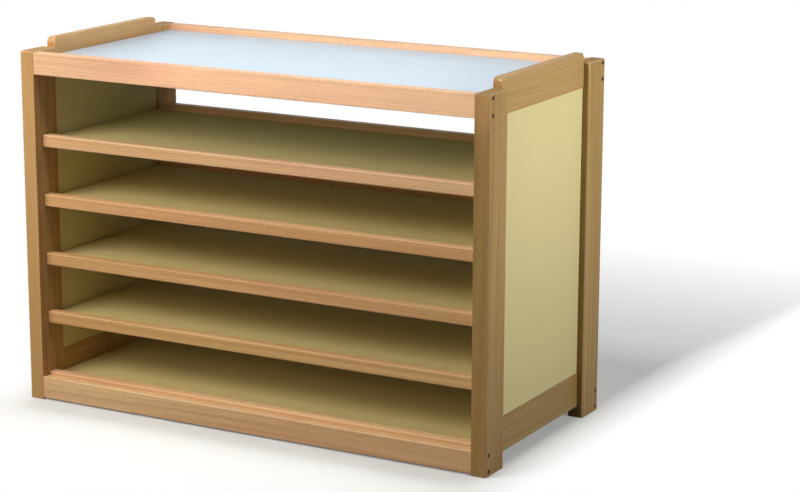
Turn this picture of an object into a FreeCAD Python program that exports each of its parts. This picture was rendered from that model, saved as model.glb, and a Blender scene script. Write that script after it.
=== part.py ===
import FreeCAD
import Part
import os

# Low shelving unit: two framed sides, four cross rails, a sunk top board and five lipped shelves.
# Millimetres. X runs along the width, the front looks towards -Y, Z is up.
# The origin lies on the floor, in the middle of the width and of the depth.

# Overall size
width = 1050.0
depth = 500.0
post_height = 720.0

# Posts
post_thickness = 32.0
post_depth = 72.0
post_edge_radius = 3.5

# Side rails, flush with the inner faces of the posts
side_rail_thickness = 19.0
side_rail_height = 70.0
side_rail_rise = 20.0
side_rail_floor_gap = 22.0
side_rail_edge_radius = 2.5
side_rail_end_radius = 10.0

# Tenons on the side rails
tenon_thickness = 9.0
tenon_length = 30.0
tenon_shoulder = 10.0
tenon_clearance = 0.1
tenon_end_gap = 0.5

# Side panels
panel_recess = 1.5
panel_gap = 0.3
panel_tongue_thickness = 6.0
panel_tongue_length = 8.0
groove_clearance = 0.1
groove_end_gap = 0.5

# Cross rails at the front and the rear
cross_rail_height = 45.0
cross_rail_thickness = 20.0
cross_rail_setback = 1.0
upper_rail_drop = 1.5
lower_rail_floor_gap = 3.0
cross_rail_edge_radius = 2.0

# Screws through the posts into the ends of the cross rails
rail_screw_shank = 6.0
rail_screw_head = 10.0
rail_screw_head_height = 4.0
rail_screw_sink = 0.4
rail_screw_bite = 38.0
rail_screw_edge = 6.5
rail_screw_clearance = 0.15
socket_across_flats = 5.0
socket_depth = 2.5

# Shelves
shelf_count = 5
top_opening = 124.5
lowest_shelf_top = 55.0
bottom_step = 128.0
lip_height = 25.0
lip_thickness = 20.0
rear_lip_extra = 5.0
lip_edge_radius = 3.0
shelf_board_thickness = 16.0
lip_tongue_thickness = 6.0
lip_tongue_length = 6.0
shelf_end_gap = 1.5
shelf_front_gap = 1.0

# Shelf pins in the posts
pin_diameter = 5.0
pin_insert = 9.0
pin_tab_length = 10.0
pin_tab_width = 9.0
pin_tab_thickness = 3.0
pin_clearance = 0.1
pin_end_gap = 0.5
pin_shelf_gap = 0.2
front_pin_edge = 22.0
rear_pin_edge = 13.0

# Top board
top_board_thickness = 19.0
top_board_drop = 14.0
top_board_gap = 0.5

# Cleats under the top board and the bottom shelf
cleat_width = 20.0
top_cleat_height = 13.0
bottom_cleat_height = 14.0

# Small screws in the cleats
small_screw_shank = 4.0
small_screw_head = 8.0
small_screw_head_height = 3.0
small_screw_clearance = 0.1
cleat_screw_bite = 12.0
cleat_screw_setback = 10.5
board_screw_bite = 10.0
board_screw_inset = 90.0
cross_cleat_screw_inset = 70.0

# Places that follow from the sizes
outer_x = width / 2
inner_x = outer_x - post_thickness
front_y = -depth / 2
rear_y = depth / 2
front_post_back_y = front_y + post_depth
rear_post_face_y = rear_y - post_depth

side_rail_outer_x = inner_x + side_rail_thickness
side_rail_middle_x = (inner_x + side_rail_outer_x) / 2
lower_side_rail_z = (side_rail_floor_gap, side_rail_floor_gap + side_rail_height)
upper_side_rail_top = post_height + side_rail_rise
upper_side_rail_z = (upper_side_rail_top - side_rail_height, upper_side_rail_top)
lower_tenon_z = (lower_side_rail_z[0] + tenon_shoulder, lower_side_rail_z[1] - tenon_shoulder)
upper_tenon_z = (upper_side_rail_z[0] + tenon_shoulder, post_height - tenon_shoulder)

upper_cross_rail_top = post_height - upper_rail_drop
upper_cross_rail_z = (upper_cross_rail_top - cross_rail_height, upper_cross_rail_top)
lower_cross_rail_z = (lower_rail_floor_gap, lower_rail_floor_gap + cross_rail_height)
cross_rail_face_y = front_y + cross_rail_setback
cross_rail_back_y = cross_rail_face_y + cross_rail_thickness
cross_rail_middle_y = (cross_rail_face_y + cross_rail_back_y) / 2

bottom_shelf_underside = lowest_shelf_top - lip_height
first_loose_underside = bottom_shelf_underside + bottom_step
highest_underside = upper_cross_rail_z[0] - top_opening - lip_height
shelf_step = (highest_underside - first_loose_underside) / (shelf_count - 2)
shelf_half_length = inner_x - shelf_end_gap
shelf_front_y = cross_rail_back_y + shelf_front_gap
front_lip_back_y = shelf_front_y + lip_thickness
rear_lip_face_y = rear_post_face_y
rear_lip_back_y = rear_lip_face_y + lip_thickness

top_board_underside = post_height - top_board_drop - top_board_thickness
top_cleat_low_z = top_board_underside - top_cleat_height
bottom_cleat_low_z = bottom_shelf_underside - bottom_cleat_height
cleat_inner_x = inner_x - cleat_width
cross_cleat_inner_y = cross_rail_back_y + cleat_width

Vector = FreeCAD.Vector


def block(x_pair, y_pair, z_pair):
    """Box between two values on each axis, given in either order."""
    pairs = (x_pair, y_pair, z_pair)
    low = [min(pair) for pair in pairs]
    size = [max(pair) - min(pair) for pair in pairs]
    return Part.makeBox(size[0], size[1], size[2], Vector(*low))


def edges_at(shape, **place):
    """Straight edges that lie on every given coordinate."""
    found = []
    for edge in shape.Edges:
        points = [vertex.Point for vertex in edge.Vertexes]
        if all(abs(getattr(point, axis) - value) < 1e-6 for point in points for axis, value in place.items()):
            found.append(edge)
    return found


def rounded(shape, radius, *places):
    """The shape with the edges at the given places rounded."""
    edges = []
    for place in places:
        for edge in edges_at(shape, **place):
            if not any(edge.isSame(other) for other in edges):
                edges.append(edge)
    return shape.makeFillet(radius, edges)


def cut_all(shape, tools):
    """The shape less every tool that reaches it."""
    for tool in tools:
        if shape.BoundBox.intersect(tool.BoundBox):
            shape = shape.cut(tool)
    return shape


def grown(pair, amount):
    """A low and high value moved apart by the amount at each end."""
    return (min(pair) - amount, max(pair) + amount)


def centred(middle, size):
    """Low and high value of a size about its middle."""
    return (middle - size / 2, middle + size / 2)


def rail_screw(side, y, z, extra=0.0):
    """Screw with a flat head, from a post's outer face inwards; extra widens it to its hole."""
    inwards = Vector(-side, 0, 0)
    face = Vector(side * outer_x, y, z)
    seat = face + inwards * (rail_screw_sink + rail_screw_head_height)
    start = face if extra else face + inwards * rail_screw_sink
    tip = post_thickness + rail_screw_bite + extra
    head = Part.makeCylinder(rail_screw_head / 2 + extra, (seat - start).Length, start, inwards)
    shank_length = tip - rail_screw_sink - rail_screw_head_height
    shank = Part.makeCylinder(rail_screw_shank / 2 + extra, shank_length, seat, inwards)
    body = head.fuse(shank).removeSplitter()
    if extra:
        return body
    corner = socket_across_flats / 3 ** 0.5
    middle = [Vector(0, corner, 0)]
    for turn in range(1, 7):
        spin = FreeCAD.Rotation(Vector(0, 0, 1), 60 * turn)
        middle.append(spin.multVec(middle[0]))
    socket = Part.Face(Part.makePolygon(middle)).extrude(Vector(0, 0, socket_depth))
    socket.Placement = FreeCAD.Placement(start, FreeCAD.Rotation(Vector(0, 0, 1), inwards))
    return body.cut(socket)


def small_screw(start, direction, length, extra=0.0):
    """Countersunk screw with its head at the start; extra widens it to its hole."""
    head = Part.makeCone(
        small_screw_head / 2 + extra, small_screw_shank / 2 + extra, small_screw_head_height, start, direction)
    seat = start + direction * small_screw_head_height
    shank = Part.makeCylinder(
        small_screw_shank / 2 + extra, length - small_screw_head_height + extra, seat, direction)
    return head.fuse(shank).removeSplitter()


def shelf_pin(side, y, underside):
    """Peg in a post with a flat tab that carries a shelf."""
    tab_top = underside - pin_shelf_gap
    axis_z = tab_top - pin_diameter / 2
    tab = block(
        (side * inner_x, side * (inner_x - pin_tab_length)),
        centred(y, pin_tab_width),
        (tab_top - pin_tab_thickness, tab_top))
    peg_start = Vector(side * (inner_x - pin_tab_length), y, axis_z)
    peg = Part.makeCylinder(pin_diameter / 2, pin_tab_length + pin_insert, peg_start, Vector(side, 0, 0))
    return peg.fuse(tab).removeSplitter()


def pin_hole(side, y, underside):
    """Blind hole in a post's inner face for a shelf pin."""
    axis_z = underside - pin_shelf_gap - pin_diameter / 2
    return Part.makeCylinder(
        pin_diameter / 2 + pin_clearance, pin_insert + pin_end_gap,
        Vector(side * inner_x, y, axis_z), Vector(side, 0, 0))


def post(side, y_pair, inner_y, holes):
    """Post with mortises and a panel groove in the face that looks at the other post."""
    solid = block((side * inner_x, side * outer_x), y_pair, (0, post_height))
    solid = rounded(
        solid, post_edge_radius,
        {"x": side * outer_x, "y": y_pair[0]},
        {"x": side * outer_x, "y": y_pair[1]},
        {"z": post_height})
    inwards = 1 if inner_y == max(y_pair) else -1
    mortise_end = inner_y - inwards * (tenon_length + tenon_end_gap)
    groove_end = inner_y - inwards * (panel_tongue_length + groove_end_gap)
    mortise_x = grown(centred(side * side_rail_middle_x, tenon_thickness), tenon_clearance)
    groove_x = grown(centred(side * side_rail_middle_x, panel_tongue_thickness), groove_clearance)
    tools = [
        block(mortise_x, (inner_y, mortise_end), grown(lower_tenon_z, tenon_clearance)),
        block(mortise_x, (inner_y, mortise_end), grown(upper_tenon_z, tenon_clearance)),
        block(groove_x, (inner_y, groove_end), (lower_tenon_z[1], upper_tenon_z[0]))]
    return cut_all(solid, tools + holes)


def side_rail(side, z_pair, tenon_z, groove_z):
    """Side rail with a tenon at each end and a groove for the panel."""
    x_pair = (side * inner_x, side * side_rail_outer_x)
    y_pair = (front_post_back_y, rear_post_face_y)
    solid = block(x_pair, y_pair, z_pair)
    if z_pair[1] > post_height:
        top = z_pair[1]
        solid = rounded(solid, side_rail_end_radius, {"y": y_pair[0], "z": top}, {"y": y_pair[1], "z": top})
        solid = rounded(solid, side_rail_edge_radius, {"x": x_pair[0], "z": top}, {"x": x_pair[1], "z": top})
    else:
        solid = rounded(solid, side_rail_edge_radius, {"x": side * side_rail_outer_x, "z": z_pair[0]})
    tenon_x = centred(side * side_rail_middle_x, tenon_thickness)
    for shoulder_y, outwards in ((y_pair[0], -1), (y_pair[1], 1)):
        tenon = block(tenon_x, (shoulder_y, shoulder_y + outwards * tenon_length), tenon_z)
        solid = solid.fuse(tenon)
    groove_x = grown(centred(side * side_rail_middle_x, panel_tongue_thickness), groove_clearance)
    return solid.removeSplitter().cut(block(groove_x, y_pair, groove_z))


def side_panel(side):
    """Panel between the posts and the side rails, with a tongue all round."""
    y_pair = (front_post_back_y, rear_post_face_y)
    z_pair = (lower_side_rail_z[1], upper_side_rail_z[0])
    thick = side_rail_thickness - 2 * panel_recess
    field = block(
        centred(side * side_rail_middle_x, thick), grown(y_pair, -panel_gap), grown(z_pair, -panel_gap))
    tongue = block(
        centred(side * side_rail_middle_x, panel_tongue_thickness),
        grown(y_pair, panel_tongue_length), grown(z_pair, panel_tongue_length))
    return field.fuse(tongue).removeSplitter()


def cross_rail(end, z_pair, holes):
    """Rail between the side frames; end is -1 at the front and 1 at the rear."""
    face_y = -end * cross_rail_face_y
    solid = block((-inner_x, inner_x), (face_y, -end * cross_rail_back_y), z_pair)
    solid = rounded(
        solid, cross_rail_edge_radius, {"y": face_y, "z": z_pair[0]}, {"y": face_y, "z": z_pair[1]})
    return cut_all(solid, holes)


def shelf_board(underside, holes):
    """Laminated board with a tongue along its front and rear edges."""
    x_pair = (-shelf_half_length, shelf_half_length)
    y_pair = (front_lip_back_y, rear_lip_face_y)
    z_pair = (underside, underside + shelf_board_thickness)
    tongue_z = centred(underside + shelf_board_thickness / 2, lip_tongue_thickness)
    board = block(x_pair, y_pair, z_pair)
    tongue = block(x_pair, grown(y_pair, lip_tongue_length), tongue_z)
    return cut_all(board.fuse(tongue).removeSplitter(), holes)


def shelf_lip(y_pair, board_y, height, underside):
    """Solid lip along a shelf, grooved for the board's tongue."""
    x_pair = (-shelf_half_length, shelf_half_length)
    top = underside + height
    face_y = y_pair[0] if board_y == y_pair[1] else y_pair[1]
    lip = block(x_pair, y_pair, (underside, top))
    lip = rounded(lip, lip_edge_radius, {"y": face_y, "z": top}, {"y": face_y, "z": underside})
    towards_lip = -1 if board_y == max(y_pair) else 1
    groove_end = board_y + towards_lip * (lip_tongue_length + groove_end_gap)
    tongue_z = centred(underside + shelf_board_thickness / 2, lip_tongue_thickness)
    return lip.cut(block(x_pair, (board_y, groove_end), grown(tongue_z, groove_clearance)))


def save(name, shape):
    """Write one named piece, or one group of like pieces."""
    if not shape.isValid() or not shape.Solids:
        raise ValueError(name + " is not a valid solid")
    shape.exportStep(os.path.join("parts", name + ".step"))


def build():
    """Work out the fasteners first, then cut their holes in the pieces that hold them."""
    os.makedirs("parts", exist_ok=True)
    sides = {"left": -1, "right": 1}
    ends = {"front": -1, "rear": 1}
    levels = {"lower": lower_cross_rail_z, "upper": upper_cross_rail_z}

    rail_screws = []
    rail_screw_holes = []
    for side in sides.values():
        for end in ends.values():
            for z_pair in levels.values():
                for z in (z_pair[0] + rail_screw_edge, z_pair[1] - rail_screw_edge):
                    y = -end * cross_rail_middle_y
                    rail_screws.append(rail_screw(side, y, z))
                    rail_screw_holes.append(rail_screw(side, y, z, rail_screw_clearance))

    undersides = [bottom_shelf_underside]
    undersides += [first_loose_underside + number * shelf_step for number in range(shelf_count - 1)]
    pins = []
    pin_holes = []
    for underside in undersides[1:]:
        for side in sides.values():
            for y in (front_post_back_y - front_pin_edge, rear_post_face_y + rear_pin_edge):
                pins.append(shelf_pin(side, y, underside))
                pin_holes.append(pin_hole(side, y, underside))

    cleats = {}
    cleat_screws = []
    cleat_screw_holes = []
    board_screws = []
    board_screw_holes = []

    def add_cleat_screw(start, direction):
        length = cleat_width + cleat_screw_bite
        cleat_screws.append(small_screw(start, direction, length))
        cleat_screw_holes.append(small_screw(start, direction, length, small_screw_clearance))

    def add_board_screw(x, y, z_low, cleat_height):
        start = Vector(x, y, z_low)
        length = cleat_height + board_screw_bite
        up = Vector(0, 0, 1)
        board_screws.append(small_screw(start, up, length))
        board_screw_holes.append(small_screw(start, up, length, small_screw_clearance))

    side_cleat_levels = {
        "top": (top_cleat_low_z, top_cleat_height),
        "bottom": (bottom_cleat_low_z, bottom_cleat_height)}
    cleat_y = (cross_rail_back_y, -cross_rail_back_y)
    for level, (z_low, height) in side_cleat_levels.items():
        for name, side in sides.items():
            x_pair = (side * cleat_inner_x, side * inner_x)
            cleats[f"{level}_{name}_cleat"] = block(x_pair, cleat_y, (z_low, z_low + height))
            for end in ends.values():
                y = end * (cleat_y[1] - cleat_screw_setback)
                add_cleat_screw(Vector(side * cleat_inner_x, y, z_low + height / 2), Vector(side, 0, 0))
            middle_x = side * (cleat_inner_x + inner_x) / 2
            for y in (cleat_y[0] + board_screw_inset, 0, cleat_y[1] - board_screw_inset):
                add_board_screw(middle_x, y, z_low, height)

    z_low = top_cleat_low_z
    reach_x = cleat_inner_x - cross_cleat_screw_inset
    for name, end in ends.items():
        y_pair = (-end * cross_rail_back_y, -end * cross_cleat_inner_y)
        cleats[f"top_{name}_cleat"] = block(
            (-cleat_inner_x, cleat_inner_x), y_pair, (z_low, z_low + top_cleat_height))
        for share in (-1, 0, 1):
            start = Vector(share * reach_x, y_pair[1], z_low + top_cleat_height / 2)
            add_cleat_screw(start, Vector(0, end, 0))
        for share in (-1, 1):
            add_board_screw(share * reach_x / 2, sum(y_pair) / 2, z_low, top_cleat_height)

    for name, shape in cleats.items():
        save(name, cut_all(shape, cleat_screw_holes + board_screw_holes))

    post_holes = rail_screw_holes + pin_holes + cleat_screw_holes
    for side_name, side in sides.items():
        save(f"front_{side_name}_post", post(side, (front_y, front_post_back_y), front_post_back_y, post_holes))
        save(f"rear_{side_name}_post", post(side, (rear_post_face_y, rear_y), rear_post_face_y, post_holes))
        tongue_depth = panel_tongue_length + groove_end_gap
        lower_top = lower_side_rail_z[1]
        upper_low = upper_side_rail_z[0]
        save(f"{side_name}_lower_side_rail",
             side_rail(side, lower_side_rail_z, lower_tenon_z, (lower_top - tongue_depth, lower_top)))
        save(f"{side_name}_upper_side_rail",
             side_rail(side, upper_side_rail_z, upper_tenon_z, (upper_low, upper_low + tongue_depth)))
        save(f"{side_name}_side_panel", side_panel(side))

    for end_name, end in ends.items():
        for level, z_pair in levels.items():
            save(f"{end_name}_{level}_cross_rail", cross_rail(end, z_pair, rail_screw_holes + cleat_screw_holes))

    for number, underside in enumerate(undersides):
        name = f"shelf_{number}" if number else "bottom_shelf"
        save(f"{name}_board", shelf_board(underside, board_screw_holes))
        save(f"{name}_front_lip",
             shelf_lip((shelf_front_y, front_lip_back_y), front_lip_back_y, lip_height, underside))
        save(f"{name}_rear_lip",
             shelf_lip((rear_lip_face_y, rear_lip_back_y), rear_lip_face_y, lip_height + rear_lip_extra, underside))

    top_x = inner_x - top_board_gap
    top_y = -cross_rail_back_y - top_board_gap
    top_z = (top_board_underside, top_board_underside + top_board_thickness)
    save("top_board", cut_all(block((-top_x, top_x), (-top_y, top_y), top_z), board_screw_holes))

    save("cross_rail_screws", Part.makeCompound(rail_screws))
    save("cleat_screws", Part.makeCompound(cleat_screws))
    save("board_screws", Part.makeCompound(board_screws))
    save("shelf_pins", Part.makeCompound(pins))


build()
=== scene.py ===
import math

import bpy
from bpy.props import FloatProperty, FloatVectorProperty, IntProperty, PointerProperty
from mathutils import Matrix, Vector


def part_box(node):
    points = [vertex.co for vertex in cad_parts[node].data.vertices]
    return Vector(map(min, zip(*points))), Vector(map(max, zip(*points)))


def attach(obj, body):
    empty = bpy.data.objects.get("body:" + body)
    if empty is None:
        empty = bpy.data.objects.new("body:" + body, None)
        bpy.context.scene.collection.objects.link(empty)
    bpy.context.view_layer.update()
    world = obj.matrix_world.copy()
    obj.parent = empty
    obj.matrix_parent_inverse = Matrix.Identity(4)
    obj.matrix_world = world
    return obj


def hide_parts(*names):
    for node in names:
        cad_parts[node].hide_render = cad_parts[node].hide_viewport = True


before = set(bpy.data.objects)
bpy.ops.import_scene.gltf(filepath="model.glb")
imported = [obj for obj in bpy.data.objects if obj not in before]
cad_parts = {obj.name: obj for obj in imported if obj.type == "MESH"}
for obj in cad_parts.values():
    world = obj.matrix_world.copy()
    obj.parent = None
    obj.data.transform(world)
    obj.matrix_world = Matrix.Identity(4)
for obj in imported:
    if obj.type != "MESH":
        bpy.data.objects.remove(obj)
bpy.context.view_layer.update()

bl_info = {
    "name": "Low shelving unit",
    "version": (1, 0, 0),
    "blender": (4, 5, 0),
    "location": "View3D > Sidebar > Shelving",
    "description": "Dresses the packed shelving unit in beech, laminate and hardware, on a white stage",
    "category": "Object",
}

SIDES = (-1, 1)
LOOSE_SHELVES = ("shelf_1", "shelf_2", "shelf_3", "shelf_4")
SHELVES = ("bottom_shelf",) + LOOSE_SHELVES
# Attributes the beech reads; the board tone holds painted light and shade as well as each board's own shade
BEECH_ATTRIBUTES = {"Tone": "board_tone", "Arris": "arris", "End Grain": "end_grain"}

# A face points along an axis above the first, and two coordinates are the same below the second
ALIGNED = 0.999
NEAR = 1e-5

ROUND = 32
SOCKET_SIDES = 6
ON_ITS_SIDE = (0, math.pi / 2, 0)
CLOUDING = 0.05
SHARP_ANGLE = math.radians(50)
SMOOTH_ANGLE = math.radians(40)
SENSOR_WIDTH = 36
FAR_CLIP = 60
FLOOR_SIZE = 40

# Each plank's grain is moved along and turned by its number, and set off from the heart of the tree
PLANK_SHIFT = 1.37
PLANK_TURN = 2.4
HEART_OFFSET = 0.05
HEART_STEP = 0.03
HEART_STEPS = 4

# Plank number of the first piece of each kind
FIRST_POST = 1
FIRST_SIDE_RAIL = 11
FIRST_CROSS_RAIL = 21
FIRST_LIP = {"front": 31, "rear": 32}

# Floor coordinates between which the shadow gives way to white, and between which the contact shade weakens
FADE_ASIDE = (0.51, 0.62)
FADE_BEHIND = (0.6, 1.6)
FADE_AHEAD = (-0.3, -0.6)
SHADE_BAND = (-0.3, -0.2)
REAR_SHADE = 0.9

# Each lamp's place, the point it is aimed at, its width and height, its spread in degrees, its colour
LAMPS = {
    "front": ((0.4, -9.0, 7.6), (0.0, 0.0, 0.3), (0.9, 5.0), 180, (1.0, 0.96, 0.91)),
    "low": ((-0.65, -1.75, 1.05), (-0.05, 0.0, 0.45), (0.3, 0.6), 180, (1.0, 0.88, 0.68)),
    "left": ((-1.0, -1.55, 1.42), (-0.35, -0.2, 0.45), (0.7, 0.7), 180, (1.0, 0.89, 0.76)),
    "strip": ((0.3, -2.6, 0.8), (0.25, -0.25, 0.72), (0.95, 0.05), 6, (1.0, 0.94, 0.86)),
    "right": ((2.4, 0.05, 0.9), (0.5, 0.05, 0.73), (0.6, 0.6), 68, (1.0, 0.97, 0.89)),
    "side": ((-2.4, 0.05, 0.9), (-0.5, 0.05, 0.6), (0.6, 0.6), 68, (1.0, 0.97, 0.89)),
    "high": ((0.1, -0.75, 2.45), (0.05, 0.0, 0.6), (0.5, 0.5), 180, (1.0, 0.99, 0.98)),
    "top": ((0.0, -0.05, 2.6), (0.0, -0.04, 0.7), (0.95, 0.5), 14, (1.0, 0.99, 0.98)),
    "rear": ((-1.5, 6.5, 0.6), (0.0, 0.2, 0.4), (1.4, 0.5), 180, (1.0, 0.98, 0.95)),
}


def paint(red, green, blue):
    """Scene colour of a shade given as 0 to 255 display values."""
    shade = []
    for value in (red, green, blue):
        part = value / 255
        shade.append(part / 12.92 if part <= 0.04045 else ((part + 0.055) / 1.055) ** 2.4)
    return tuple(shade)


def colour_setting(name, description, shade):
    """Colour property with a display shade as its default."""
    return FloatVectorProperty(
        name=name, description=description, subtype="COLOR", size=3, min=0, max=1,
        default=paint(*shade))


def length_setting(name, description, metres):
    """Length property in metres."""
    return FloatProperty(
        name=name, description=description, subtype="DISTANCE", unit="LENGTH", min=0, precision=4,
        default=metres)


def angle_setting(name, description, radians):
    """Angle property."""
    return FloatProperty(name=name, description=description, subtype="ANGLE", default=radians)


def count_setting(name, description, count):
    """Property that counts facets."""
    return IntProperty(name=name, description=description, min=2, max=16, default=count)


def lamp_setting(name, description, watts):
    """Power of a lamp."""
    return FloatProperty(name=name, description=description, subtype="POWER", min=0, default=watts)


def share_setting(name, description, share):
    """Property from 0 to 1."""
    return FloatProperty(
        name=name, description=description, subtype="FACTOR", min=0, max=1, default=share)


class ShelvingTimber(bpy.types.PropertyGroup):
    """Beech: its colours, gloss and arrises."""
    light_tone: colour_setting("Light tone", "Colour of the pale early wood", (238, 196, 143))
    dark_tone: colour_setting("Dark tone", "Colour of the darker streaks", (206, 155, 100))
    fleck_tone: colour_setting("Fleck tone", "Colour of the short ray flecks", (150, 98, 56))
    end_tone: colour_setting("End grain tone", "Colour that tints the end grain", (186, 136, 90))
    gloss: share_setting("Gloss", "Strength of the satin lacquer's reflection", 0.08)
    gloss_roughness: share_setting("Roughness", "Roughness of the satin lacquer", 0.42)
    # Painted shade: how much darker a post's face beside its panel is drawn, for the shade in that recess
    painted_corner_shade: share_setting(
        "Corner depth", "How much deeper a post's tone is beside its panel", 0.45)
    post_arris: length_setting("Post arris", "Radius on the outer edges of a post", 0.0035)
    rail_arris: length_setting("Rail arris", "Radius on the edges of a rail", 0.002)
    side_rail_arris: length_setting("Side rail arris", "Radius on the edges of a side rail", 0.0025)
    side_rail_corner: length_setting(
        "Side rail corner", "Radius of a raised side rail's end corners", 0.010)
    lip_arris: length_setting("Lip arris", "Radius on the outer edges of a shelf lip", 0.003)
    fine_arris: length_setting("Fine arris", "Sanded edge wherever nothing larger is cut", 0.0006)
    steps: count_setting("Arris steps", "Facets round each larger arris", 5)
    corner_steps: count_setting("Corner steps", "Facets round a raised side rail's end corners", 10)
    fine_steps: count_setting("Fine steps", "Facets round each sanded edge", 2)


class ShelvingLaminate(bpy.types.PropertyGroup):
    """Laminated boards."""
    panel_colour: colour_setting(
        "Side panel", "Colour of the laminate on the side panels", (231, 219, 165))
    shelf_colour: colour_setting("Shelf", "Colour of the laminate on the shelves", (223, 210, 155))
    top_colour: colour_setting("Top", "Colour of the laminate on the top board", (205, 227, 246))
    core_colour: colour_setting("Core", "Colour of the chipboard at a board's ends", (186, 152, 108))
    skin: length_setting("Skin", "Thickness of the laminate", 0.0009)
    edge: length_setting("Edge", "Eased edge of a laminated board", 0.0005)
    gap: length_setting("Gap", "Open joint between a side panel and its frame", 0.0003)


class ShelvingHardware(bpy.types.PropertyGroup):
    """Screws and shelf pins."""
    bronze_colour: colour_setting("Bronzed steel", "Colour of the cross rail screws", (112, 74, 34))
    zinc_colour: colour_setting("Zinc", "Colour of the small screws", (196, 196, 190))
    nickel_colour: colour_setting("Nickel", "Colour of the shelf pins", (190, 188, 182))
    head_radius: length_setting("Head radius", "Radius of a cross rail screw's head", 0.005)
    head_height: length_setting("Head height", "Height of a cross rail screw's head", 0.004)
    shank_radius: length_setting("Shank radius", "Radius of a cross rail screw's shank", 0.003)
    head_arris: length_setting("Head arris", "Eased edge of a cross rail screw's head", 0.0004)
    reach: length_setting("Reach", "Depth of a cross rail screw's tip below the post's face", 0.07)
    inset: length_setting("Inset", "Distance of a cross rail screw from the rail's edge", 0.0065)
    sink: length_setting("Sink", "Depth of a screw head below the post's face", 0.0004)
    socket_radius: length_setting("Socket radius", "Half the width across a socket's corners", 0.00289)
    socket_depth: length_setting("Socket depth", "Depth of a screw's socket", 0.0025)
    clearance: length_setting("Clearance", "Room round a screw head in its hole", 0.00015)


class ShelvingStage(bpy.types.PropertyGroup):
    """Camera, lights and floor."""
    lens: FloatProperty(
        name="Lens", description="Focal length in millimetres", subtype="DISTANCE_CAMERA", min=10,
        default=106.34)
    eye: FloatVectorProperty(
        name="Camera", description="Place of the camera", subtype="TRANSLATION", size=3,
        default=(2.3945, -3.9739, 1.4233))
    turn: angle_setting("Turn", "Turn of the camera about the upright", 0.5038)
    tilt: angle_setting("Tilt", "Downward tilt of the camera", 0.2314)
    roll: angle_setting("Roll", "Roll of the camera", 0.0038)
    front_power: lamp_setting("Front light", "Power of the tall soft light high in front", 180)
    low_power: lamp_setting("Low light", "Power of the lower light in front", 4.9)
    left_power: lamp_setting("Left light", "Power of the warm light at the left", 16)
    strip_power: lamp_setting(
        "Strip light", "Power of the narrow light along the upper front rail", 0.115)
    right_power: lamp_setting("Right light", "Power of the light on the right side", 4.5)
    side_power: lamp_setting("Side light", "Power of the light on the left side", 3.0)
    high_power: lamp_setting("High light", "Power of the light above the front edge", 13)
    top_power: lamp_setting("Top light", "Power of the light overhead", 0.5)
    rear_power: lamp_setting("Rear light", "Power of the low light behind", 170)
    sky: share_setting("Sky", "Strength of the even light from all round", 0.06)
    floor_glow: share_setting(
        "Floor glow", "Share of the floor's white that no shadow takes away", 0.20)
    floor_colour: colour_setting("Floor", "Colour of the floor to the eye", (244, 250, 255))
    floor_bounce: share_setting(
        "Floor bounce", "Share of light that the floor throws back at the unit", 0.12)
    contact: length_setting("Contact", "Reach of the soft shade where the unit meets the floor", 0.25)
    contact_shade: share_setting(
        "Contact shade", "Brightness of the floor where the unit meets it", 0.45)


def timber():
    """Settings of the solid wood."""
    return bpy.context.scene.shelving_timber


def laminate():
    """Settings of the boards."""
    return bpy.context.scene.shelving_laminate


def hardware():
    """Settings of the screws and pins."""
    return bpy.context.scene.shelving_hardware


def opaque(colour):
    """Colour with a full alpha, as a node socket takes it."""
    return (colour[0], colour[1], colour[2], 1.0)


def scaled(colour, share):
    """Colour made darker or lighter, no part of it above white."""
    return tuple(min(1.0, part * share) for part in colour)


def put(tree, kind, values=None, **settings):
    """Add a shader node, set its options, and fill its inputs with links or values."""
    node = tree.nodes.new("ShaderNode" + kind)
    for option, value in settings.items():
        setattr(node, option, value)
    for socket, value in (values or {}).items():
        if isinstance(value, bpy.types.NodeSocket):
            tree.links.new(value, node.inputs[socket])
        else:
            node.inputs[socket].default_value = value
    return node


def maths(tree, operation, first, second=0.0, third=0.0, clamp=False):
    """Result of a Math node."""
    node = put(tree, "Math", {0: first, 1: second, 2: third}, operation=operation, use_clamp=clamp)
    return node.outputs[0]


def blended(tree, factor, first, second):
    """Result of a colour Mix node."""
    node = put(tree, "Mix", {0: factor, 6: first, 7: second}, data_type="RGBA")
    return node.outputs[2]


def stretched(tree, place, scale):
    """The place scaled along each axis."""
    return put(tree, "VectorMath", {0: place, 1: scale}, operation="MULTIPLY").outputs[0]


def noise(tree, place, scale, detail=2.0, roughness=0.5, distortion=0.0):
    """Value of a Noise texture on a stretched place."""
    node = put(
        tree, "TexNoise",
        {"Vector": stretched(tree, place, scale), "Scale": 1.0, "Detail": detail,
         "Roughness": roughness, "Distortion": distortion})
    return node.outputs["Fac"]


def remapped(tree, value, low, high, new_low=0.0, new_high=1.0):
    """Value mapped from one range to another, clamped."""
    node = put(
        tree, "MapRange",
        {"Value": value, "From Min": low, "From Max": high, "To Min": new_low, "To Max": new_high})
    return node.outputs["Result"]


def start_group(name, inputs, outputs):
    """New shader node group with its sockets; gives the tree, its input sockets and its output node."""
    group = bpy.data.node_groups.new(name, "ShaderNodeTree")
    for label, kind in inputs:
        group.interface.new_socket(name=label, in_out="INPUT", socket_type="NodeSocket" + kind)
    for label, kind in outputs:
        group.interface.new_socket(name=label, in_out="OUTPUT", socket_type="NodeSocket" + kind)
    entry = group.nodes.new("NodeGroupInput")
    leave = group.nodes.new("NodeGroupOutput")
    return group, entry.outputs, leave.inputs


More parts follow.
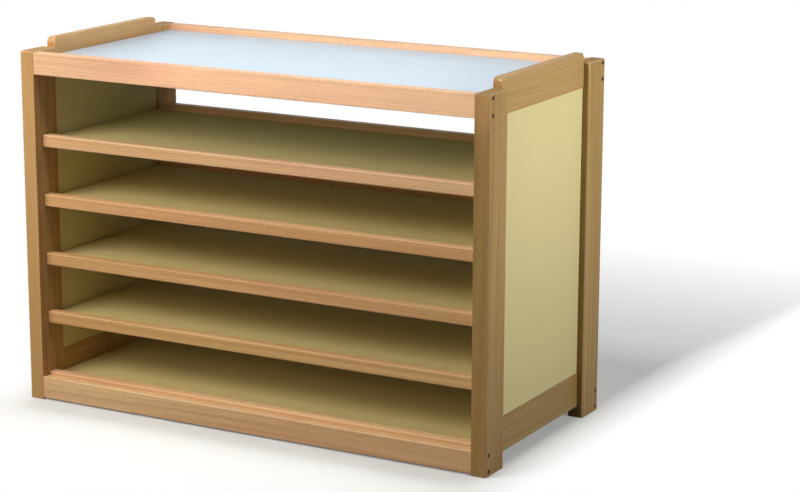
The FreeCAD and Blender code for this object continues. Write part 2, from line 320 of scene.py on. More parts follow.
def beech_group():
    """Figure of flat-sawn beech: rings, streaks, fibre, ray flecks, end grain and rubbed arrises."""
    name = "Beech figure"
    if name in bpy.data.node_groups:
        return bpy.data.node_groups[name]
    group, given, result = start_group(
        name,
        [("Place", "Vector"), ("Tone", "Float"), ("Arris", "Float"), ("End Grain", "Float"),
         ("Light Tone", "Color"), ("Dark Tone", "Color"), ("Fleck Tone", "Color"),
         ("End Tone", "Color"), ("Base Roughness", "Float")],
        [("Color", "Color"), ("Roughness", "Float"), ("Height", "Float")])
    place = given["Place"]
    wander = put(
        group, "TexNoise",
        {"Vector": stretched(group, place, (1.6, 9, 9)), "Scale": 1.0, "Detail": 1.0}).outputs["Color"]
    sway = put(group, "VectorMath", {0: wander, 1: (0, 0.016, 0.016)}, operation="MULTIPLY").outputs[0]
    swayed = put(group, "VectorMath", {0: place, 1: sway}, operation="ADD").outputs[0]
    rings = put(
        group, "TexWave",
        {"Vector": swayed, "Scale": 58.0, "Distortion": 1.2, "Detail": 2.0, "Detail Scale": 9.0},
        wave_type="RINGS", rings_direction="X", wave_profile="SAW").outputs["Fac"]
    late_wood = maths(group, "POWER", rings, 3.0)
    broad = noise(group, place, (1.1, 26, 26), detail=2.0)
    streak = noise(group, place, (2.4, 150, 150), detail=3.0, roughness=0.6, distortion=0.2)
    fibre = noise(group, place, (30, 1300, 1300), detail=2.0, roughness=0.6)
    dash = noise(group, place, (170, 1700, 1300), detail=1.0)
    fleck = remapped(group, dash, 0.60, 0.70)

    figure = maths(group, "MULTIPLY_ADD", late_wood, 0.20, maths(group, "MULTIPLY", broad, 0.80))
    figure = maths(group, "MULTIPLY_ADD", streak, 0.50, figure)
    figure = maths(group, "MULTIPLY_ADD", fibre, 0.24, figure)
    shade = remapped(group, figure, 0.58, 1.10)
    colour = blended(group, shade, given["Light Tone"], given["Dark Tone"])
    colour = blended(group, maths(group, "MULTIPLY", fleck, 0.40), colour, given["Fleck Tone"])
    pores = maths(group, "MULTIPLY_ADD", fibre, 0.5, 0.30, clamp=True)
    end_colour = blended(group, pores, given["End Tone"], colour)
    colour = blended(group, maths(group, "MULTIPLY", given["End Grain"], 0.85), colour, end_colour)
    rubbed = maths(group, "MULTIPLY", given["Arris"], remapped(group, broad, 0.35, 0.65, 0.02, 0.16))
    colour = blended(group, rubbed, colour, (1.0, 0.86, 0.68, 1.0))
    # Tone lightens or darkens a board's face; it carries each board's own shade and also painted light and
    # shade set per piece
    value = maths(group, "MULTIPLY_ADD", given["Tone"], 0.50, 1.0)
    hue = maths(group, "MULTIPLY_ADD", given["Tone"], -0.016, 0.5)
    drift = maths(group, "SUBTRACT", noise(group, place, (1.7, 7, 7), detail=1.0), 0.5)
    hue = maths(group, "MULTIPLY_ADD", drift, 0.05, hue)
    deeper = maths(group, "MULTIPLY_ADD", maths(group, "MINIMUM", given["Tone"], 0.0), -0.05, 1.0)
    deeper = maths(group, "MULTIPLY_ADD", maths(group, "MAXIMUM", given["Tone"], 0.0), -0.4, deeper)
    toned = put(
        group, "HueSaturation",
        {"Hue": hue, "Saturation": deeper, "Value": value, "Color": colour}).outputs[0]
    group.links.new(toned, result["Color"])

    uneven = maths(group, "SUBTRACT", streak, 0.5)
    rough = maths(group, "MULTIPLY_ADD", uneven, 0.16, given["Base Roughness"])
    rough = maths(group, "MULTIPLY_ADD", given["End Grain"], 0.18, rough)
    rough = maths(group, "MULTIPLY_ADD", fleck, 0.08, rough, clamp=True)
    group.links.new(rough, result["Roughness"])
    height = maths(group, "MULTIPLY_ADD", fleck, -0.5, maths(group, "MULTIPLY", fibre, 0.5))
    height = maths(group, "MULTIPLY_ADD", late_wood, 0.18, height)
    group.links.new(height, result["Height"])
    return group


def laminate_group():
    """Pressed laminate: faint clouding, fine speckle, a soft pebble surface and handling marks."""
    name = "Pressed laminate"
    if name in bpy.data.node_groups:
        return bpy.data.node_groups[name]
    group, given, result = start_group(
        name,
        [("Place", "Vector"), ("Base Tone", "Color"), ("Base Roughness", "Float"),
         ("Clouding", "Float")],
        [("Color", "Color"), ("Roughness", "Float"), ("Height", "Float")])
    place = given["Place"]
    cloud = noise(group, place, (5, 5, 5), detail=3.0)
    speck = noise(group, place, (420, 420, 420), detail=2.0)
    pebble = noise(group, place, (900, 900, 900), detail=1.0)
    rub = noise(group, place, (9, 34, 9), detail=4.0, roughness=0.7, distortion=0.8)
    shift = maths(group, "MULTIPLY", maths(group, "SUBTRACT", cloud, 0.5), given["Clouding"])
    shift = maths(group, "MULTIPLY_ADD", maths(group, "SUBTRACT", speck, 0.5), 0.05, shift)
    value = maths(group, "ADD", shift, 1.0)
    toned = put(group, "HueSaturation", {"Value": value, "Color": given["Base Tone"]}).outputs[0]
    group.links.new(toned, result["Color"])
    marks = remapped(group, rub, 0.55, 0.75, 0.0, 0.10)
    rough = maths(group, "ADD", given["Base Roughness"], marks)
    rough = maths(group, "MULTIPLY_ADD", maths(group, "SUBTRACT", speck, 0.5), 0.08, rough, clamp=True)
    group.links.new(rough, result["Roughness"])
    group.links.new(maths(group, "MULTIPLY_ADD", speck, 0.4, pebble), result["Height"])
    return group


def metal_group():
    """Plated or blackened steel: uneven plating, fine scratches and rubbed high spots."""
    name = "Plated steel"
    if name in bpy.data.node_groups:
        return bpy.data.node_groups[name]
    group, given, result = start_group(
        name,
        [("Place", "Vector"), ("Base Tone", "Color"), ("Rubbed Tone", "Color"),
         ("Base Roughness", "Float")],
        [("Color", "Color"), ("Roughness", "Float"), ("Height", "Float")])
    place = given["Place"]
    patch = noise(group, place, (260, 260, 260), detail=3.0)
    scratch = noise(group, place, (500, 2600, 900), detail=2.0)
    rubbed = remapped(group, patch, 0.52, 0.72, 0.0, 0.55)
    group.links.new(blended(group, rubbed, given["Base Tone"], given["Rubbed Tone"]), result["Color"])
    uneven = maths(group, "SUBTRACT", scratch, 0.5)
    rough = maths(group, "MULTIPLY_ADD", uneven, 0.25, given["Base Roughness"], clamp=True)
    group.links.new(rough, result["Roughness"])
    group.links.new(scratch, result["Height"])
    return group


def start_material(name):
    """New node material with a Principled shader; gives the material, its tree and the shader."""
    material = bpy.data.materials.new(name)
    material.use_nodes = True
    tree = material.node_tree
    shader = tree.nodes["Principled BSDF"]
    return material, tree, shader


def finish_surface(tree, shader, effect, bump_strength, bump_distance):
    """Join an effect's colour, roughness and height to the shader."""
    tree.links.new(effect.outputs["Color"], shader.inputs["Base Color"])
    tree.links.new(effect.outputs["Roughness"], shader.inputs["Roughness"])
    bump = put(
        tree, "Bump",
        {"Strength": bump_strength, "Distance": bump_distance, "Height": effect.outputs["Height"]})
    tree.links.new(bump.outputs["Normal"], shader.inputs["Normal"])


def beech(along=None):
    """Lacquered beech that follows a piece's own attributes, or Object coordinates along an axis."""
    name = "lacquered_beech" if along is None else "lacquered_beech_along_" + along
    if name in bpy.data.materials:
        return bpy.data.materials[name]
    material, tree, shader = start_material(name)
    colours = timber()
    if along is None:
        place = put(tree, "Attribute", attribute_name="board_place").outputs["Vector"]
        marks = {
            label: put(tree, "Attribute", attribute_name=attribute).outputs["Fac"]
            for label, attribute in BEECH_ATTRIBUTES.items()}
    else:
        spin = (0, 0, 0) if along == "width" else (0, 0, math.pi / 2)
        coordinates = put(tree, "TexCoord").outputs["Object"]
        place = put(tree, "Mapping", {"Vector": coordinates, "Rotation": spin}).outputs["Vector"]
        marks = {}
    effect = put(
        tree, "Group",
        {"Place": place, "Light Tone": opaque(colours.light_tone),
         "Dark Tone": opaque(colours.dark_tone), "Fleck Tone": opaque(colours.fleck_tone),
         "End Tone": opaque(colours.end_tone), "Base Roughness": colours.gloss_roughness, **marks},
        node_tree=beech_group())
    finish_surface(tree, shader, effect, bump_strength=0.25, bump_distance=0.0004)
    shader.inputs["Specular IOR Level"].default_value = colours.gloss
    return material


def laminated(name, colour, roughness, specular, bump):
    """Laminate in one colour."""
    if name in bpy.data.materials:
        return bpy.data.materials[name]
    material, tree, shader = start_material(name)
    coordinates = put(tree, "TexCoord").outputs["Object"]
    effect = put(
        tree, "Group",
        {"Place": coordinates, "Base Tone": opaque(colour), "Base Roughness": roughness,
         "Clouding": CLOUDING},
        node_tree=laminate_group())
    finish_surface(tree, shader, effect, bump, bump_distance=0.0003)
    shader.inputs["Specular IOR Level"].default_value = specular
    return material


def panel_laminate():
    """Matte laminate of the side panels."""
    return laminated(
        "pressed_panel_laminate", laminate().panel_colour, roughness=0.55, specular=0.18, bump=0.12)


def shelf_laminate():
    """Duller laminate of the shelves."""
    return laminated(
        "pressed_shelf_laminate", laminate().shelf_colour, roughness=0.75, specular=0.05, bump=0.12)


def top_laminate():
    """Satin laminate of the top board."""
    return laminated(
        "pressed_top_laminate", laminate().top_colour, roughness=0.32, specular=0.40, bump=0.06)


def chipboard():
    """Pressed chips at the sawn ends of a board."""
    name = "chipboard_core"
    if name in bpy.data.materials:
        return bpy.data.materials[name]
    material, tree, shader = start_material(name)
    coordinates = put(tree, "TexCoord").outputs["Object"]
    chips = put(
        tree, "TexVoronoi",
        {"Vector": stretched(tree, coordinates, (220, 220, 480)), "Scale": 1.0, "Randomness": 1.0})
    grey = put(tree, "SeparateColor", {"Color": chips.outputs["Color"]}).outputs[0]
    core = laminate().core_colour
    pale = opaque(scaled(core, 1.5))
    dark = opaque(scaled(core, 0.55))
    tree.links.new(blended(tree, grey, dark, pale), shader.inputs["Base Color"])
    rough = remapped(tree, grey, 0.0, 1.0, 0.75, 0.95)
    tree.links.new(rough, shader.inputs["Roughness"])
    bump = put(tree, "Bump", {"Strength": 0.5, "Distance": 0.0005, "Height": chips.outputs["Distance"]})
    tree.links.new(bump.outputs["Normal"], shader.inputs["Normal"])
    return material


def metal(name, colour, rubbed, roughness, metallic):
    """Steel in one plating."""
    if name in bpy.data.materials:
        return bpy.data.materials[name]
    material, tree, shader = start_material(name)
    coordinates = put(tree, "TexCoord").outputs["Object"]
    effect = put(
        tree, "Group",
        {"Place": coordinates, "Base Tone": opaque(colour), "Rubbed Tone": opaque(rubbed),
         "Base Roughness": roughness},
        node_tree=metal_group())
    finish_surface(tree, shader, effect, bump_strength=0.15, bump_distance=0.0001)
    shader.inputs["Metallic"].default_value = metallic
    return material


def bronzed_steel():
    """Dark steel of the cross rail screws, paler where it is rubbed."""
    colour = hardware().bronze_colour
    return metal("bronzed_steel", colour, scaled(colour, 2.2), roughness=0.42, metallic=0.75)


def zinc_plate():
    """Plating of the small screws."""
    colour = hardware().zinc_colour
    return metal("zinc_plate", colour, scaled(colour, 0.8), roughness=0.34, metallic=1.0)


def nickel_plate():
    """Plating of the shelf pins."""
    colour = hardware().nickel_colour
    return metal("nickel_plate", colour, scaled(colour, 0.85), roughness=0.28, metallic=1.0)


def deselect_all():
    """Leave edit mode with nothing selected."""
    if bpy.context.object and bpy.context.object.mode != "OBJECT":
        bpy.ops.object.mode_set(mode="OBJECT")
    bpy.ops.object.select_all(action="DESELECT")


def choose(piece):
    """Make a piece the only selected and active object."""
    deselect_all()
    piece.select_set(True)
    bpy.context.view_layer.objects.active = piece


def settle(piece):
    """Move a piece's place into its mesh."""
    choose(piece)
    bpy.ops.object.transform_apply(location=True, rotation=True, scale=True)


def start_board(name, low, high):
    """Squared board between two corners."""
    deselect_all()
    middle = (low + high) / 2
    bpy.ops.mesh.primitive_cube_add(size=1, location=middle, scale=high - low)
    board = bpy.context.object
    board.name = name
    board.data.name = name
    settle(board)
    return board


def edit(piece, mode):
    """Go into edit mode with nothing selected."""
    choose(piece)
    bpy.ops.object.mode_set(mode="EDIT")
    bpy.ops.mesh.select_mode(type=mode)
    bpy.ops.mesh.select_all(action="DESELECT")


def select_edges(piece, wanted):
    """Select the edges whose two ends both pass a test."""
    edit(piece, "EDGE")
    bpy.ops.object.mode_set(mode="OBJECT")
    points = piece.data.vertices
    for edge in piece.data.edges:
        edge.select = wanted([points[number].co for number in edge.vertices])
    bpy.ops.object.mode_set(mode="EDIT")


def select_faces(piece, wanted):
    """Select the faces that pass a test."""
    edit(piece, "FACE")
    bpy.ops.object.mode_set(mode="OBJECT")
    for face in piece.data.polygons:
        face.select = wanted(face)
    bpy.ops.object.mode_set(mode="EDIT")


def at(**place):
    """Test that every end of an edge lies on each given coordinate."""
    def wanted(ends):
        return all(
            abs(getattr(end, axis) - value) < NEAR for end in ends for axis, value in place.items())
    return wanted


def either(*tests):
    """Test that at least one of several tests passes."""
    def wanted(ends):
        return any(test(ends) for test in tests)
    return wanted


def bevel_selected(radius, steps):
    """Round the selected edges and leave edit mode."""
    bpy.ops.mesh.bevel(offset=radius, segments=steps, profile=0.5, affect="EDGES", clamp_overlap=True)
    bpy.ops.object.mode_set(mode="OBJECT")


def round_edges(piece, wanted, radius, steps):
    """Round the edges that pass a test."""
    select_edges(piece, wanted)
    bevel_selected(radius, steps)


def ease_sharp_edges(piece, radius):
    """Sand every edge that is still sharp."""
    edit(piece, "EDGE")
    bpy.ops.mesh.edges_select_sharp(sharpness=SHARP_ANGLE)
    bevel_selected(radius, timber().fine_steps)


def smooth(piece):
    """Soft shading on the arrises, with the flat faces kept flat."""
    choose(piece)
    bpy.ops.object.shade_smooth_by_angle(angle=SMOOTH_ANGLE)
    modifier = piece.modifiers.new("flat faces", "WEIGHTED_NORMAL")
    modifier.keep_sharp = True
    bpy.ops.object.modifier_apply(modifier=modifier.name)


def cut(piece, cutters):
    """Take cutters away from a piece and delete them."""
    for cutter in cutters:
        choose(piece)
        modifier = piece.modifiers.new("cut", "BOOLEAN")
        modifier.operation = "DIFFERENCE"
        modifier.solver = "EXACT"
        modifier.object = cutter
        bpy.ops.object.modifier_apply(modifier=modifier.name)
        choose(cutter)
        bpy.ops.object.delete()


def store(piece, name, kind, domain, values):
    """Keep values on a piece's mesh for its material to read."""
    attribute = piece.data.attributes.new(name, kind, domain)
    attribute.data.foreach_set("vector" if kind == "FLOAT_VECTOR" else "value", values)


def mark_grain(piece, axis, number, tone):
    """Store where each point lies in the plank, which faces are end grain and arrises, and a tone with
    painted shade.
    """
    order = {"x": (0, 1, 2), "y": (1, 2, 0), "z": (2, 0, 1)}[axis]
    heart = HEART_OFFSET + HEART_STEP * (number % HEART_STEPS)
    turn = number * PLANK_TURN
    shift = (number * PLANK_SHIFT, heart * math.cos(turn), heart * math.sin(turn))
    places = []
    for point in piece.data.vertices:
        places += [point.co[source] + move for source, move in zip(order, shift)]
    ends = []
    arrises = []
    for face in piece.data.polygons:
        size = [abs(part) for part in face.normal]
        ends.append(1.0 if size[order[0]] > ALIGNED else 0.0)
        arrises.append(0.0 if max(size) > ALIGNED else 1.0)
    store(piece, "board_place", "FLOAT_VECTOR", "POINT", places)
    store(piece, "end_grain", "FLOAT", "FACE", ends)
    store(piece, "arris", "FLOAT", "FACE", arrises)
    store(piece, "board_tone", "FLOAT", "FACE", [tone] * len(ends))


def hand_over(piece, body, slot, *nodes):
    """Fix a finished piece to its body in place of its nodes."""
    smooth(piece)
    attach(piece, body)
    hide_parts(*nodes)


def finish_timber(piece, axis, number, tone, body, node):
    """Give a timber piece its grain and finish."""
    mark_grain(piece, axis, number, tone)
    piece.data.materials.append(beech())
    hand_over(piece, body, "beech", node)


def span(node):
    """Lowest and highest corner of a node."""
    low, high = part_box(node)
    return low.copy(), high.copy()


def centre(node):
    """Middle of a node's box."""
    low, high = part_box(node)
    return (low + high) / 2


def copied(pattern, source, node, name):
    """Copy of a piece at a like node, with its own mesh, turned where it faces the other way."""
    here = centre(source)
    there = centre(node)
    turn = math.pi if here.x * there.x + here.y * there.y < 0 else 0.0
    choose(pattern)
    bpy.ops.object.duplicate(linked=False)
    piece = bpy.context.object
    piece.name = name
    piece.data.name = name
    piece.rotation_euler.z = turn
    piece.location = there - Matrix.Rotation(turn, 3, "Z") @ here
    settle(piece)
    return piece


def like_pieces(make, ending, source, *nodes):
    """Model the first node's piece once and copy it to the others; gives the piece of each node."""
    pattern = make(source, source + ending)
    pieces = {source: pattern}
    for node in nodes:
        pieces[node] = copied(pattern, source, node, node + ending)
    return pieces


def body_of(shelf):
    """Body that a shelf moves with."""
    return shelf if shelf in LOOSE_SHELVES else "frame"


def screw_places(side, end):
    """Middle of each cross rail screw's place on one post's outer face."""
    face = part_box("front_right_post")[1].x
    inset = hardware().inset
    places = []
    for level in ("lower", "upper"):
        rail = f"{end}_{level}_cross_rail"
        low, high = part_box(rail)
        for z in (low.z + inset, high.z - inset):
            places.append(Vector((side * face, centre(rail).y, z)))
    return places


class SHELVING_OT_posts(bpy.types.Operator):
    """Four posts with rounded outer edges and a counterbore round each screw head"""
    bl_idname = "shelving.posts"
    bl_label = "Posts"

    def execute(self, context):
        # Tone of each post; the right posts are set darker as painted shade of the side away from the light
        tones_and_shade = {
            "front_left_post": -0.35, "rear_left_post": -0.35,
            "front_right_post": -0.80, "rear_right_post": -0.74}
        posts = like_pieces(self.post, "_timber", "front_left_post", "rear_right_post")
        posts.update(like_pieces(self.post, "_timber", "front_right_post", "rear_left_post"))
        for number, (node, tone) in enumerate(tones_and_shade.items(), FIRST_POST):
            finish_timber(posts[node], "z", number, tone, "frame", node)
            self.paint_inner_edge_shade(posts[node], tone)
        return {"FINISHED"}

    def paint_inner_edge_shade(self, post, tone):
        """Painted shade: a deeper tone on the face beside the panel, standing in for the shade in that
        recess.
        """
        inwards = -1 if post.data.vertices[0].co.y > 0 else 1
        tones_and_shade = post.data.attributes["board_tone"].data
        for face in post.data.polygons:
            if face.normal.y * inwards > ALIGNED:
                tones_and_shade[face.index].value = tone - timber().painted_corner_shade

    def post(self, node, name):
        """Squared timber, its outer edges rounded and its screw holes sunk."""
        low, high = span(node)
        side = 1 if low.x > 0 else -1
        end = "front" if low.y < 0 else "rear"
        outer = high.x if side > 0 else low.x
        post = start_board(name, low, high)
        round_edges(
            post, either(at(x=outer, y=low.y), at(x=outer, y=high.y), at(z=high.z)),
            timber().post_arris, timber().steps)
        ease_sharp_edges(post, timber().fine_arris)
        fit = hardware()
        radius = fit.head_radius + fit.clearance
        depth = fit.sink + fit.head_height
        cutters = []
        for place in screw_places(side, end):
            deselect_all()
            bpy.ops.mesh.primitive_cylinder_add(
                vertices=ROUND, radius=radius, depth=2 * depth, location=place, rotation=ON_ITS_SIDE)
            cutters.append(bpy.context.object)
        cut(post, cutters)
        return post


class SHELVING_OT_side_rails(bpy.types.Operator):
    """Lower and upper side rails; the upper ones stand above the posts with rounded corners"""
    bl_idname = "shelving.side_rails"
    bl_label = "Side rails"

    def execute(self, context):
        # Tone of each rail; the right rails are set darker as painted shade of the side away from the light
        tones_and_shade = {
            "left_lower_side_rail": -0.40, "left_upper_side_rail": -0.20,
            "right_lower_side_rail": -0.85, "right_upper_side_rail": -0.60}
        rails = like_pieces(
            self.lower_rail, "_timber", "left_lower_side_rail", "right_lower_side_rail")
        rails.update(like_pieces(
            self.upper_rail, "_timber", "left_upper_side_rail", "right_upper_side_rail"))
        for number, (node, tone) in enumerate(tones_and_shade.items(), FIRST_SIDE_RAIL):
            finish_timber(rails[node], "y", number, tone, "frame", node)
        return {"FINISHED"}

    def between_posts(self, node):
        """Corners of a left rail's seen part, from post to post."""
        low, high = span(node)
        low.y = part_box("front_left_post")[1].y
        high.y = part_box("rear_left_post")[0].y
        return low, high

    def lower_rail(self, node, name):
        """Rail with its lower outer edge rounded."""
        low, high = self.between_posts(node)
        rail = start_board(name, low, high)
        round_edges(rail, at(x=low.x, z=low.z), timber().side_rail_arris, timber().steps)
        ease_sharp_edges(rail, timber().fine_arris)
        return rail

    def upper_rail(self, node, name):
        """Rail with round end corners and both edges rounded along its top."""
        low, high = self.between_posts(node)
        corner = timber().side_rail_corner
        shoulder = high.z - corner - NEAR

        def along_top(ends):
            flat = at(x=low.x)(ends) or at(x=high.x)(ends)
            return flat and all(point.z > shoulder for point in ends)

        rail = start_board(name, low, high)
        round_edges(
            rail, either(at(y=low.y, z=high.z), at(y=high.y, z=high.z)), corner, timber().corner_steps)
        round_edges(rail, along_top, timber().side_rail_arris, timber().steps)
        ease_sharp_edges(rail, timber().fine_arris)
        return rail


class SHELVING_OT_side_panels(bpy.types.Operator):
    """Laminated panels between the posts and the side rails"""
    bl_idname = "shelving.side_panels"
    bl_label = "Side panels"

    def execute(self, context):
        panels = like_pieces(self.panel, "_board", "left_side_panel", "right_side_panel")
        for node, panel in panels.items():
            hand_over(panel, "frame", "panel_laminate", node)
        return {"FINISHED"}

    def panel(self, node, name):
        """Seen part of the left panel, a hair clear of its frame."""
        gap = laminate().gap
        low, high = span(node)
        low.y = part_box("front_left_post")[1].y + gap
        high.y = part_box("rear_left_post")[0].y - gap
        low.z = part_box("left_lower_side_rail")[1].z + gap
        high.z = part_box("left_upper_side_rail")[0].z - gap
        panel = start_board(name, low, high)
        ease_sharp_edges(panel, laminate().edge)
        panel.data.materials.append(panel_laminate())
        return panel


class SHELVING_OT_cross_rails(bpy.types.Operator):
    """Front and rear cross rails"""
    bl_idname = "shelving.cross_rails"
    bl_label = "Cross rails"

    def execute(self, context):
        # Tone of each rail, partly the board's own shade and partly painted light: the front upper rail is
        # set lightest where the front is lit most
        tones_and_shade = {
            "front_lower_cross_rail": 0.35, "front_upper_cross_rail": 0.45,
            "rear_lower_cross_rail": -0.10, "rear_upper_cross_rail": 0.35}
        rails = like_pieces(self.rail, "_timber", *tones_and_shade)
        for number, (node, tone) in enumerate(tones_and_shade.items(), FIRST_CROSS_RAIL):
            finish_timber(rails[node], "x", number, tone, "frame", node)
        return {"FINISHED"}

    def rail(self, node, name):
        """Front rail with both edges of its outer face rounded."""
        low, high = span(node)
        rail = start_board(name, low, high)
        round_edges(
            rail, either(at(y=low.y, z=low.z), at(y=low.y, z=high.z)),
            timber().rail_arris, timber().steps)
        ease_sharp_edges(rail, timber().fine_arris)
        return rail


class SHELVING_OT_shelf_lips(bpy.types.Operator):
    """Solid lips along the front and rear of every shelf"""
    bl_idname = "shelving.shelf_lips"
    bl_label = "Shelf lips"

    def execute(self, context):
        # Tone of each lip, set lighter or darker to match how bright it looks under the light: partly the
        # board's own shade, partly painted light and shade
        tones_and_shade = {
            "bottom_shelf": 0.25, "shelf_1": -0.10, "shelf_2": -0.15, "shelf_3": 0.05, "shelf_4": 0.30}
        for end, first in FIRST_LIP.items():
            lips = like_pieces(self.lip, "_timber", *(f"{shelf}_{end}_lip" for shelf in SHELVES))
            for step, shelf in enumerate(SHELVES):
                node = f"{shelf}_{end}_lip"
                finish_timber(lips[node], "x", first + 2 * step, tones_and_shade[shelf], body_of(shelf), node)
        return {"FINISHED"}

    def lip(self, node, name):
        """Lip with both edges of its outer face rounded."""
        low, high = span(node)
        face = low.y if low.y < 0 else high.y
        lip = start_board(name, low, high)
        round_edges(
            lip, either(at(y=face, z=low.z), at(y=face, z=high.z)), timber().lip_arris, timber().steps)
        ease_sharp_edges(lip, timber().fine_arris)
        return lip


class SHELVING_OT_shelf_boards(bpy.types.Operator):
    """Chipboard shelves with laminate on both faces, sawn flush at their ends"""
    bl_idname = "shelving.shelf_boards"
    bl_label = "Shelf boards"

    def execute(self, context):
        boards = like_pieces(self.board, "_laminated", *(f"{shelf}_board" for shelf in SHELVES))
        for shelf in SHELVES:
            node = f"{shelf}_board"
            hand_over(boards[node], body_of(shelf), "shelf_laminate", node)
        return {"FINISHED"}

    def board(self, node, name):
        """Board from lip to lip, cut where its skins meet the core."""
        shelf = node.removesuffix("_board")
        low, high = span(node)
        low.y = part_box(f"{shelf}_front_lip")[1].y
        high.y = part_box(f"{shelf}_rear_lip")[0].y
        board = start_board(name, low, high)
        skin = laminate().skin
        for level in (low.z + skin, high.z - skin):
            edit(board, "FACE")
            bpy.ops.mesh.select_all(action="SELECT")
            bpy.ops.mesh.bisect(plane_co=(0, 0, level), plane_no=(0, 0, 1))
            bpy.ops.object.mode_set(mode="OBJECT")
        board.data.materials.append(shelf_laminate())
        board.data.materials.append(chipboard())
        for face in board.data.polygons:
            upright = abs(face.normal.z) < NEAR
            sawn = upright and low.z + skin < face.center.z < high.z - skin
            face.material_index = 1 if sawn else 0
        return board


class SHELVING_OT_top_board(bpy.types.Operator):
    """Pale blue board sunk between the rails"""
    bl_idname = "shelving.top_board"
    bl_label = "Top board"

    def execute(self, context):
        low, high = span("top_board")
        board = start_board("top_board_laminated", low, high)
        ease_sharp_edges(board, laminate().edge)
        board.data.materials.append(top_laminate())
        hand_over(board, "frame", "top_laminate", "top_board")
        return {"FINISHED"}


class SHELVING_OT_rail_screws(bpy.types.Operator):
    """Sixteen flat-headed socket screws that hold the cross rails"""
    bl_idname = "shelving.rail_screws"
    bl_label = "Cross rail screws"

    def execute(self, context):
        pattern = self.screw()
        screws = []
        for side in SIDES:
            for end in ("front", "rear"):
                for place in screw_places(side, end):
                    choose(pattern)
                    bpy.ops.object.duplicate(linked=False)
                    screw = bpy.context.object
                    screw.rotation_euler.z = 0.0 if side > 0 else math.pi
                    screw.location = place - Vector((side * hardware().sink, 0, 0))
                    settle(screw)
                    screws.append(screw)
        choose(pattern)
        bpy.ops.object.delete()
        deselect_all()
        for screw in screws:
            screw.select_set(True)
        bpy.context.view_layer.objects.active = screws[0]
        bpy.ops.object.join()
        group = bpy.context.object
        group.name = "cross_rail_screw_set"
        group.data.name = group.name
        group.data.materials.append(bronzed_steel())
        hand_over(group, "frame", "dark_screw", "cross_rail_screws")
        return {"FINISHED"}

    def screw(self):
        """One screw with the middle of its head's face at the origin, pointing along -X."""
        fit = hardware()
        inwards = Vector((-1, 0, 0))
        deselect_all()
        bpy.ops.mesh.primitive_cylinder_add(
            vertices=ROUND, radius=fit.head_radius, depth=fit.head_height,
            location=inwards * fit.head_height / 2, rotation=ON_ITS_SIDE)
        screw = bpy.context.object
        settle(screw)
        select_faces(screw, lambda face: abs(face.center.x + fit.head_height) < NEAR)
        bpy.ops.mesh.inset(thickness=fit.head_radius - fit.shank_radius)
        shank = inwards * (fit.reach - fit.sink - fit.head_height)
        bpy.ops.mesh.extrude_region_move(TRANSFORM_OT_translate={"value": shank})
        bpy.ops.object.mode_set(mode="OBJECT")
        ease_sharp_edges(screw, fit.head_arris)
        deselect_all()
        bpy.ops.mesh.primitive_cylinder_add(
            vertices=SOCKET_SIDES, radius=fit.socket_radius, depth=2 * fit.socket_depth,
            rotation=ON_ITS_SIDE)
        cut(screw, [bpy.context.object])
        return screw


class SHELVING_OT_hidden_parts(bpy.types.Operator):
    """Finishes for the cleats, their screws and the shelf pins"""
    bl_idname = "shelving.hidden_parts"
    bl_label = "Cleats, small screws and pins"

    def execute(self, context):
        finishes = {
            "cleat_screws": zinc_plate(), "board_screws": zinc_plate(), "shelf_pins": nickel_plate()}
        for place in ("top_front", "top_rear"):
            finishes[place + "_cleat"] = beech("width")
        for place in ("top_left", "top_right", "bottom_left", "bottom_right"):
            finishes[place + "_cleat"] = beech("depth")
        for node, material in finishes.items():
            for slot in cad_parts[node].material_slots:
                slot.material = material
        return {"FINISHED"}


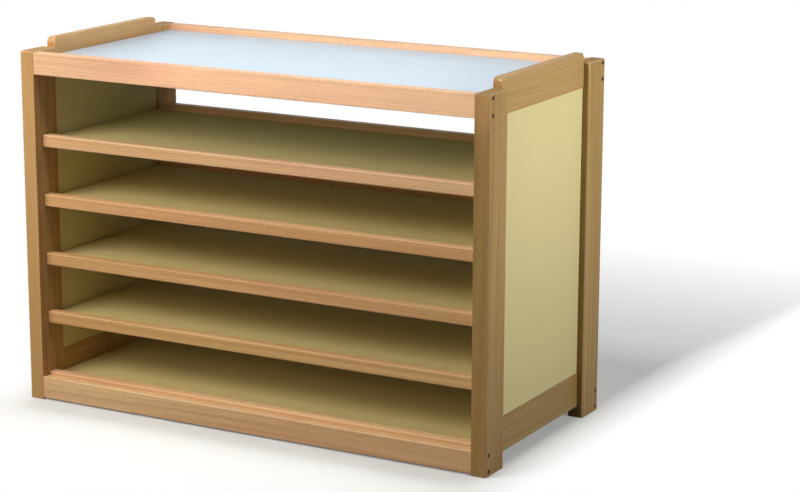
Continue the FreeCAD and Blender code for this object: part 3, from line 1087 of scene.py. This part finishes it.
class SHELVING_OT_stage(bpy.types.Operator):
    """White floor, studio lights and the camera"""
    bl_idname = "shelving.stage"
    bl_label = "Stage"

    def execute(self, context):
        settings = context.scene.shelving_stage
        context.scene.view_settings.view_transform = "Standard"
        self.add_floor(settings)
        self.add_sky(context, settings)
        for name, (place, target, size, spread, colour) in LAMPS.items():
            self.add_lamp(name, place, target, size, spread, getattr(settings, name + "_power"), colour)
        self.add_camera(context, settings)
        return {"FINISHED"}

    def add_floor(self, settings):
        """Floor that shows white to the eye and keeps the shadow."""
        deselect_all()
        bpy.ops.mesh.primitive_plane_add(size=FLOOR_SIZE)
        floor = bpy.context.object
        floor.name = "floor"
        material, tree, shader = start_material("white_floor")
        seen = self.seen_directly(tree)
        bounce = [settings.floor_bounce] * 3
        openness = put(tree, "AmbientOcclusion", {"Distance": settings.contact}).outputs["AO"]
        coordinates = put(tree, "TexCoord").outputs["Object"]
        place = put(tree, "SeparateXYZ", {"Vector": coordinates})
        shade = remapped(tree, place.outputs["Y"], *SHADE_BAND, settings.contact_shade, REAR_SHADE)
        touched = remapped(tree, openness, 0.5, 1.0, shade, 1.0)
        bright = blended(tree, touched, (0, 0, 0, 1), opaque(settings.floor_colour))
        colour = blended(tree, seen, opaque(bounce), bright)
        tree.links.new(colour, shader.inputs["Base Color"])
        shader.inputs["Roughness"].default_value = 0.9
        shader.inputs["Specular IOR Level"].default_value = 0.0
        shader.inputs["Emission Color"].default_value = (1, 1, 1, 1)
        glow = maths(tree, "MULTIPLY", maths(tree, "MULTIPLY", seen, touched), settings.floor_glow)
        tree.links.new(glow, shader.inputs["Emission Strength"])
        aside = maths(tree, "ABSOLUTE", place.outputs["X"])
        behind = remapped(tree, place.outputs["Y"], *FADE_BEHIND)
        ahead = remapped(tree, place.outputs["Y"], *FADE_AHEAD)
        far = maths(tree, "MAXIMUM", behind, ahead)
        far = maths(tree, "MAXIMUM", remapped(tree, aside, *FADE_ASIDE), far)
        white = put(tree, "Emission", {"Color": (1, 1, 1, 1), "Strength": 1.0})
        fade = maths(tree, "MULTIPLY", seen, far)
        mixed = put(tree, "MixShader", {0: fade, 1: shader.outputs[0], 2: white.outputs[0]})
        tree.links.new(mixed.outputs[0], tree.nodes["Material Output"].inputs["Surface"])
        floor.data.materials.append(material)

    def add_sky(self, context, settings):
        """Even light from all round that shows white to the eye."""
        world = bpy.data.worlds.new("studio")
        context.scene.world = world
        world.use_nodes = True
        tree = world.node_tree
        seen = self.seen_directly(tree)
        strength = remapped(tree, seen, 0.0, 1.0, settings.sky, 1.0)
        tree.links.new(strength, tree.nodes["Background"].inputs["Strength"])
        tree.nodes["Background"].inputs["Color"].default_value = (1, 1, 1, 1)

    def seen_directly(self, tree):
        """Mask of the rays that show a surface to the eye, straight, mirrored or through glass."""
        rays = put(tree, "LightPath")
        seen = maths(tree, "MAXIMUM", rays.outputs["Is Camera Ray"], rays.outputs["Is Glossy Ray"])
        return maths(tree, "MAXIMUM", seen, rays.outputs["Is Transmission Ray"])

    def add_lamp(self, name, place, target, size, spread, power, colour):
        """Soft oblong lamp aimed at a point."""
        deselect_all()
        aim = (Vector(target) - Vector(place)).to_track_quat("-Z", "Y").to_euler()
        bpy.ops.object.light_add(type="AREA", location=place, rotation=aim)
        lamp = bpy.context.object
        lamp.name = name + "_light"
        lamp.data.shape = "RECTANGLE"
        lamp.data.size, lamp.data.size_y = size
        lamp.data.spread = math.radians(spread)
        lamp.data.energy = power
        lamp.data.color = colour
        lamp.visible_camera = False
        lamp.visible_glossy = False

    def add_camera(self, context, settings):
        """Camera at the photograph's viewing angle."""
        deselect_all()
        spin = (Matrix.Rotation(settings.turn, 3, "Z")
                @ Matrix.Rotation(math.pi / 2 - settings.tilt, 3, "X")
                @ Matrix.Rotation(settings.roll, 3, "Z"))
        bpy.ops.object.camera_add(location=settings.eye, rotation=spin.to_euler())
        camera = bpy.context.object
        camera.name = "camera"
        camera.data.sensor_width = SENSOR_WIDTH
        camera.data.lens = settings.lens
        camera.data.clip_end = FAR_CLIP
        context.scene.camera = camera


SETTINGS = {
    "shelving_timber": ShelvingTimber,
    "shelving_laminate": ShelvingLaminate,
    "shelving_hardware": ShelvingHardware,
    "shelving_stage": ShelvingStage,
}

OPERATORS = (
    SHELVING_OT_posts,
    SHELVING_OT_side_rails,
    SHELVING_OT_side_panels,
    SHELVING_OT_cross_rails,
    SHELVING_OT_shelf_lips,
    SHELVING_OT_shelf_boards,
    SHELVING_OT_top_board,
    SHELVING_OT_rail_screws,
    SHELVING_OT_hidden_parts,
    SHELVING_OT_stage,
)


class SHELVING_PT_panel(bpy.types.Panel):
    """Sidebar panel with the settings and the making of each piece"""
    bl_idname = "SHELVING_PT_panel"
    bl_label = "Low shelving unit"
    bl_space_type = "VIEW_3D"
    bl_region_type = "UI"
    bl_category = "Shelving"

    def draw(self, context):
        layout = self.layout
        for holder, kind in SETTINGS.items():
            box = layout.box()
            box.label(text=kind.__doc__)
            for setting in kind.__annotations__:
                box.prop(getattr(context.scene, holder), setting)
        for operator in OPERATORS:
            layout.operator(operator.bl_idname)


def register():
    """Make the settings, the operators and the panel known to Blender."""
    for holder, kind in SETTINGS.items():
        bpy.utils.register_class(kind)
        setattr(bpy.types.Scene, holder, PointerProperty(type=kind))
    for operator in OPERATORS:
        bpy.utils.register_class(operator)
    bpy.utils.register_class(SHELVING_PT_panel)


def unregister():
    """Take the panel, the operators and the settings away again."""
    bpy.utils.unregister_class(SHELVING_PT_panel)
    for operator in reversed(OPERATORS):
        bpy.utils.unregister_class(operator)
    for holder, kind in SETTINGS.items():
        delattr(bpy.types.Scene, holder)
        bpy.utils.unregister_class(kind)


def main():
    """Make every piece and the stage."""
    register()
    for operator in OPERATORS:
        group, name = operator.bl_idname.split(".")
        getattr(getattr(bpy.ops, group), name)()


if __name__ == "__main__":
    main()
